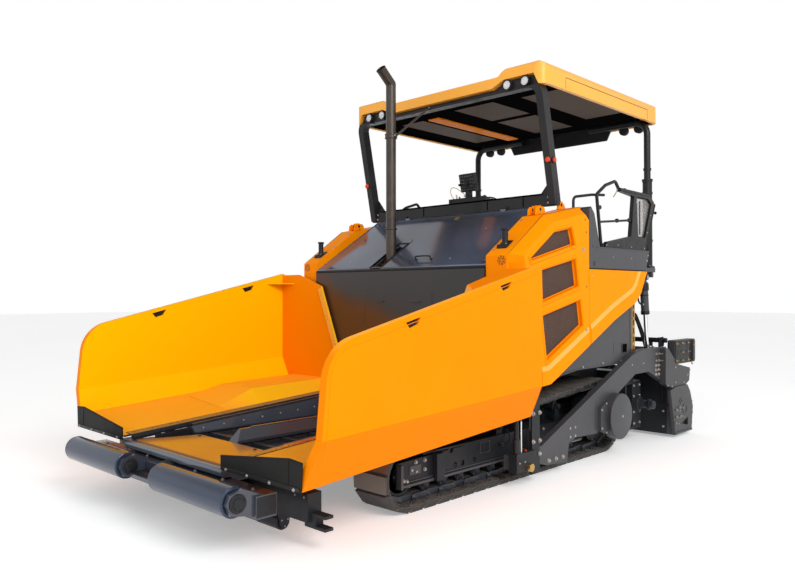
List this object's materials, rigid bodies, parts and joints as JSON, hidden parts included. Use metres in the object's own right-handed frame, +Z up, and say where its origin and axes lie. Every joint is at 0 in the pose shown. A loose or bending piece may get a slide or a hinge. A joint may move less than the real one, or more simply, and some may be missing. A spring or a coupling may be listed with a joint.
{
  "type": "asphalt paver",
  "caption": "Tracked asphalt paver with a folding-wing hopper, conveyors, engine hood, canopied platform, augers, and a screed carried by tow arms.",
  "frame": {"origin": "on the ground under the middle of the overall length and width", "axes": "+Z up, -Y towards the hopper and push rollers, +X to the machine's left side"},
  "size_m": [3.54, 6.531, 4.0493],
  "materials": {
    "orange_paint": "gloss",
    "grey_paint": "satin",
    "dark_frame": "satin",
    "blue_black_paint": "gloss",
    "worn_steel": "worn",
    "roller_steel": "satin",
    "rod_chrome": "polished",
    "flap_rubber": "matte",
    "grille_brown": "matte",
    "exhaust_steel": "heat stained",
    "engine_iron": "matte",
    "black_paint": "satin",
    "console_plastic": "matte",
    "seat_black": "matte",
    "lamp_lens": "clear",
    "clear_glass": "clear"
  },
  "bodies": {
    "machine": {"auger_support": "dark_frame", "canopy_frame": "dark_frame", "canopy_roof": "orange_paint", "chain_guards": "blue_black_paint", "conveyor_deck": "worn_steel", "conveyors": "worn_steel", "engine": "engine_iron", "exhaust": "exhaust_steel", "front_apron": "orange_paint", "front_lip": "blue_black_paint", "front_portal": "dark_frame", "handrails": "black_paint", "hopper_rear_wall": "dark_frame", "lamps": "lamp_lens", "leveling_barrels": "dark_frame", "lower_panels": "grey_paint", "main_frame": "dark_frame", "platform_deck": "grey_paint", "post_sockets": "dark_frame", "push_beam": "dark_frame", "rear_housing": "dark_frame", "seats": "seat_black", "side_pod_left": "orange_paint", "side_pod_right": "orange_paint", "side_stations": "black_paint", "side_tails": "orange_paint", "station_windows": "clear_glass", "track_frame_left": "dark_frame", "track_frame_right": "dark_frame", "track_left": "worn_steel", "track_right": "worn_steel", "track_wheels_left": "roller_steel", "track_wheels_right": "roller_steel"},
    "wing_left": {"hopper_wing_left": "orange_paint", "wing_flap_left": "flap_rubber"},
    "wing_right": {"hopper_wing_right": "orange_paint", "wing_flap_right": "flap_rubber"},
    "wing_barrel_left": {"wing_barrel_left": "dark_frame"},
    "wing_barrel_right": {"wing_barrel_right": "dark_frame"},
    "wing_rod_left": {"wing_rod_left": "rod_chrome"},
    "wing_rod_right": {"wing_rod_right": "rod_chrome"},
    "push_roller_left": {"push_roller_left": "roller_steel"},
    "push_roller_right": {"push_roller_right": "roller_steel"},
    "hood": {"hood": "blue_black_paint"},
    "door_left": {"service_door_left": "orange_paint", "door_grilles_left": "grille_brown"},
    "door_right": {"service_door_right": "orange_paint", "door_grilles_right": "grille_brown"},
    "tow_slides": {"tow_slides": "grey_paint"},
    "screed_arms": {"tow_arms": "grey_paint", "screed": "dark_frame"},
    "lift_barrels": {"lift_barrels": "dark_frame"},
    "lift_rods": {"lift_rods": "rod_chrome"},
    "auger_left": {"auger_left": "worn_steel"},
    "auger_right": {"auger_right": "worn_steel"},
    "console": {"console": "console_plastic"}
  },
  "joints": [
    {"name": "wing_left_fold", "type": "hinge", "parent": "machine", "child": "wing_left", "pos_m": [0.7, -2.3, 0.53685], "axis": [0, -0.9976, -0.0688], "range_deg": [0, 50]},
    {"name": "wing_left_cylinder_swing", "type": "hinge", "parent": "machine", "child": "wing_barrel_left", "pos_m": [0.8, -2.3, 0.24], "axis": [0, -0.9976, -0.0688], "range_deg": [-1, 40.37]},
    {"name": "wing_left_cylinder_stroke", "type": "slide", "parent": "wing_barrel_left", "child": "wing_rod_left", "axis": [0.8872, -0.0318, 0.4603], "range_m": [-0.005, 0.2382]},
    {"name": "wing_right_fold", "type": "hinge", "parent": "machine", "child": "wing_right", "pos_m": [-0.7, -2.3, 0.53685], "axis": [0, 0.9976, 0.0688], "range_deg": [0, 50]},
    {"name": "wing_right_cylinder_swing", "type": "hinge", "parent": "machine", "child": "wing_barrel_right", "pos_m": [-0.8, -2.3, 0.24], "axis": [0, 0.9976, 0.0688], "range_deg": [-1, 40.37]},
    {"name": "wing_right_cylinder_stroke", "type": "slide", "parent": "wing_barrel_right", "child": "wing_rod_right", "axis": [-0.8872, -0.0318, 0.4603], "range_m": [-0.005, 0.2382]},
    {"name": "push_roller_left_spin", "type": "hinge", "parent": "machine", "child": "push_roller_left", "pos_m": [0, -3.146, 0.376], "axis": [1, 0, 0], "continuous": true},
    {"name": "push_roller_right_spin", "type": "hinge", "parent": "machine", "child": "push_roller_right", "pos_m": [0, -3.146, 0.376], "axis": [1, 0, 0], "continuous": true},
    {"name": "hood_lift", "type": "hinge", "parent": "machine", "child": "hood", "pos_m": [0, 0.43, 2.54], "axis": [-1, 0, 0], "range_deg": [0, 55]},
    {"name": "door_left_swing", "type": "hinge", "parent": "machine", "child": "door_left", "pos_m": [1.49, 0.714, 1.7], "axis": [0, 0, 1], "range_deg": [0, 100]},
    {"name": "door_right_swing", "type": "hinge", "parent": "machine", "child": "door_right", "pos_m": [-1.49, 0.714, 1.7], "axis": [0, 0, -1], "range_deg": [0, 100]},
    {"name": "tow_point_height", "type": "slide", "parent": "machine", "child": "tow_slides", "axis": [0, 0, 1], "range_m": [-0.03, 0.15]},
    {"name": "screed_lift", "type": "hinge", "parent": "tow_slides", "child": "screed_arms", "pos_m": [0, -0.45, 0.22], "axis": [1, 0, 0], "range_deg": [-0.5, 6]},
    {"name": "lift_cylinder_swing", "type": "hinge", "parent": "machine", "child": "lift_barrels", "pos_m": [0, 2.375, 1.87], "axis": [1, 0, 0], "range_deg": [-7.55, 0.81]},
    {"name": "lift_cylinder_stroke", "type": "slide", "parent": "lift_barrels", "child": "lift_rods", "axis": [0, 0.1072, -0.9942], "range_m": [-0.309, 0.0294]},
    {"name": "auger_left_spin", "type": "hinge", "parent": "machine", "child": "auger_left", "pos_m": [0, 2.25, 0.42], "axis": [1, 0, 0], "continuous": true},
    {"name": "auger_right_spin", "type": "hinge", "parent": "machine", "child": "auger_right", "pos_m": [0, 2.25, 0.42], "axis": [1, 0, 0], "continuous": true},
    {"name": "console_slide", "type": "slide", "parent": "machine", "child": "console", "axis": [1, 0, 0], "range_m": [-0.5, 1.2]}
  ],
  "couplings": [
    {"joint": "wing_left_cylinder_swing", "follows": "wing_left_fold", "ratio": 0.78731},
    {"joint": "wing_left_cylinder_stroke", "follows": "wing_left_fold", "m_per_rad": 0.26721},
    {"joint": "wing_right_cylinder_swing", "follows": "wing_right_fold", "ratio": 0.78731},
    {"joint": "wing_right_cylinder_stroke", "follows": "wing_right_fold", "m_per_rad": 0.26721},
    {"joint": "lift_cylinder_swing", "follows": "screed_lift", "ratio": -1.2246},
    {"joint": "lift_cylinder_stroke", "follows": "screed_lift", "m_per_rad": -2.9121}
  ]
}
